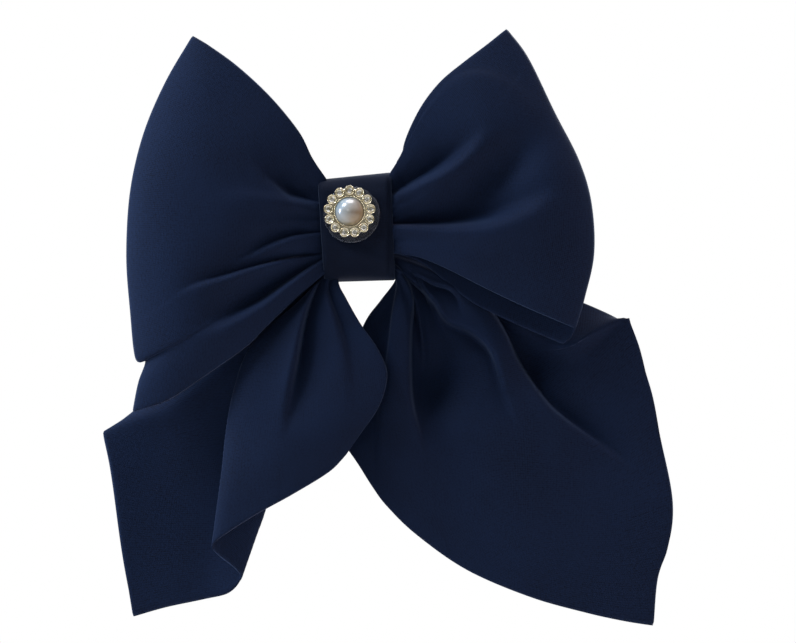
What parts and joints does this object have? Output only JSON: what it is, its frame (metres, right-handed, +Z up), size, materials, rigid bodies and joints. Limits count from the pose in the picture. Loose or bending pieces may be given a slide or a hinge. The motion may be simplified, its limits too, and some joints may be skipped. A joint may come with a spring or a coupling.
{
  "type": "hair bow",
  "caption": "Large hair bow of navy crepe with puffed loops, long folded tails, a knot band with a pearl and rhinestone button, and a hinged barrette behind.",
  "frame": {"origin": "middle of the hair gap between the barrette's tension spring and its closed arm, behind the knot", "axes": "+X to the right as the bow is seen from the front, +Y out of the back towards the head, +Z up; the bow's front faces -Y"},
  "size_m": [0.1928, 0.0462, 0.2021],
  "materials": {
    "cloth": "navy crepe, doubled and turned, with a soft low sheen",
    "thread": "navy sewing thread",
    "nickel_steel": "nickel-plated stamped steel",
    "spring_steel": "rolled spring steel strip",
    "gold_tone": "pale gold plating, polished",
    "crystal": "clear cut glass",
    "pearl": "pearl lacquer over a moulded half-bead",
    "clear_glue": "clear hot-melt glue, glossy"
  },
  "bodies": {
    "bow": {"left_loop": "cloth", "right_loop": "cloth", "left_tail": "cloth", "right_tail": "cloth", "knot_band": "cloth", "gathering_thread": "thread", "band_stitches": "thread", "barrette_plate": "nickel_steel", "catch_saddle": "nickel_steel", "catch_rivet": "nickel_steel", "hinge_pin": "nickel_steel", "tension_spring": "spring_steel", "button_base": "gold_tone", "stone_cups": "gold_tone", "pearl_bezel": "gold_tone", "rhinestones": "crystal", "half_pearl": "pearl", "glue_pad": "clear_glue"},
    "arm": {"clip_arm": "nickel_steel"},
    "upper_prong": {"catch_prong_upper": "nickel_steel"},
    "lower_prong": {"catch_prong_lower": "nickel_steel"}
  },
  "joints": [
    {"name": "arm_hinge", "type": "hinge", "parent": "bow", "child": "arm", "pos_m": [-0.0385, 0.00525, 0], "axis": [0, 0, 1], "range_deg": [0, 75]},
    {"name": "upper_prong_pinch", "type": "hinge", "parent": "bow", "child": "upper_prong", "pos_m": [0.0364, -0.00401, 0.00175], "axis": [-0.9907, -0.1361, 0], "range_deg": [0, 5], "stiffness_Nm_per_rad": 0.04},
    {"name": "lower_prong_pinch", "type": "hinge", "parent": "bow", "child": "lower_prong", "pos_m": [0.0364, -0.00401, -0.00175], "axis": [0.9907, 0.1361, 0], "range_deg": [0, 5]}
  ],
  "couplings": [
    {"joint": "lower_prong_pinch", "follows": "upper_prong_pinch", "ratio": 1}
  ]
}
